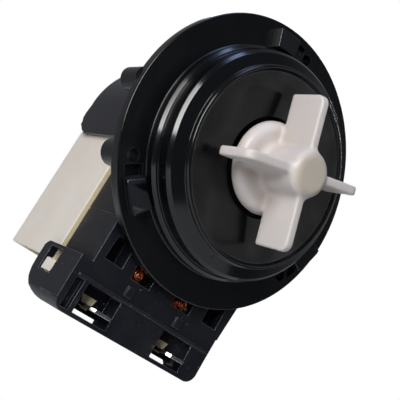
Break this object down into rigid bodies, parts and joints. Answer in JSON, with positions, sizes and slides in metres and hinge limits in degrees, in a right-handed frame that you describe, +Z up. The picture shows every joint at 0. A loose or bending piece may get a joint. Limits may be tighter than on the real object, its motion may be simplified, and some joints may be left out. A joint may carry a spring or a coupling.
{
  "type": "washer drain pump",
  "caption": "Washer drain pump: bayonet flange with spigot, bladed impeller on a magnet rotor in a sealed can, two-coil stator under hood and cover, spade terminals.",
  "frame": {"origin": "on the rotor axis, at the seat where the spigot's straight wall leaves its shoulder", "axes": "-Y along the rotor axis towards the impeller, +Z up with the terminals hanging down, +X to the right seen from the impeller"},
  "size_m": [0.0738, 0.0751, 0.0885],
  "materials": {
    "black_gloss_plastic": "semi-gloss moulded",
    "black_satin_plastic": "satin moulded",
    "black_rubber": "matte",
    "bearing_bronze": "sintered",
    "shaft_steel": "ground",
    "ferrite": "ground ferrite",
    "milky_plastic": "milky satin",
    "core_steel": "laminated",
    "cream_plastic": "satin",
    "copper_wire": "enamelled",
    "tinned_brass": "tinned"
  },
  "bodies": {
    "motor": {"pump_flange": "black_gloss_plastic", "bearing_plate": "black_satin_plastic", "plate_seal_ring": "black_rubber", "shaft_lip_seal": "black_rubber", "front_bearing": "bearing_bronze", "front_grommet": "black_rubber", "rear_bearing": "bearing_bronze", "rear_grommet": "black_rubber", "pole_core_left": "core_steel", "pole_core_right": "core_steel", "core_yoke": "core_steel", "coil_bobbin_left": "cream_plastic", "coil_bobbin_right": "cream_plastic", "coil_pack_left": "copper_wire", "coil_pack_right": "copper_wire", "coil_winding_left": "copper_wire", "coil_winding_right": "copper_wire", "coil_leads": "copper_wire", "terminal_carrier": "black_satin_plastic", "spade_terminal_left": "tinned_brass", "spade_terminal_right": "tinned_brass", "coil_cover": "cream_plastic", "motor_hood": "black_gloss_plastic"},
    "rotor": {"rotor_shaft": "shaft_steel", "magnet_carrier": "black_satin_plastic", "rotor_magnet": "ferrite", "front_thrust_washer": "milky_plastic", "rear_thrust_washer": "milky_plastic", "drive_dog": "milky_plastic"},
    "impeller": {"impeller": "milky_plastic", "coupling_retainer": "milky_plastic", "stop_buffers": "black_rubber"}
  },
  "joints": [
    {"name": "rotor_spin", "type": "hinge", "parent": "motor", "child": "rotor", "pos_m": [0, 0, 0], "axis": [0, -1, 0], "continuous": true},
    {"name": "impeller_play", "type": "hinge", "parent": "rotor", "child": "impeller", "pos_m": [0, 0, 0], "axis": [0, -1, 0], "range_deg": [-105, 105]}
  ]
}
